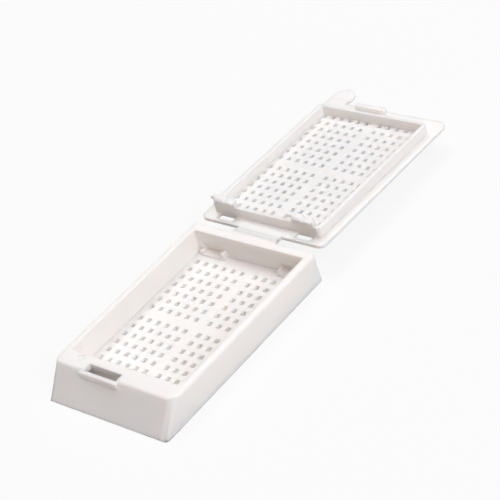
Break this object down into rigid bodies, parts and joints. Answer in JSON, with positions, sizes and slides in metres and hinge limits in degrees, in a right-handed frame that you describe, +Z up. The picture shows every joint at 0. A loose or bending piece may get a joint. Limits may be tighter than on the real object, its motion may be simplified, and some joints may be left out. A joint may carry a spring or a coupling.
{
  "type": "tissue cassette",
  "caption": "Open histology cassette: a shallow perforated tray with a sloped writing face, and a perforated lid with hooks, a latch tongue and a thumb tab on a moulded hinge strip.",
  "frame": {"origin": "underside of the tray, on its centre line, at the middle of the floor's cross rib", "axes": "+X to the right across the tray, +Y along it from the sloped writing face towards the hinge and the opened lid, +Z up out of the chamber"},
  "size_m": [0.0275, 0.0847, 0.0088],
  "materials": {
    "acetal": "white moulded acetal, satin"
  },
  "bodies": {
    "base": {"cassette_base": "acetal"},
    "lid": {"cassette_lid": "acetal"}
  },
  "joints": [
    {"name": "lid_hinge", "type": "hinge", "parent": "base", "child": "lid", "pos_m": [0, 0.01955, 0.00555], "axis": [1, 0, 0], "range_deg": [0, 181.7]}
  ]
}
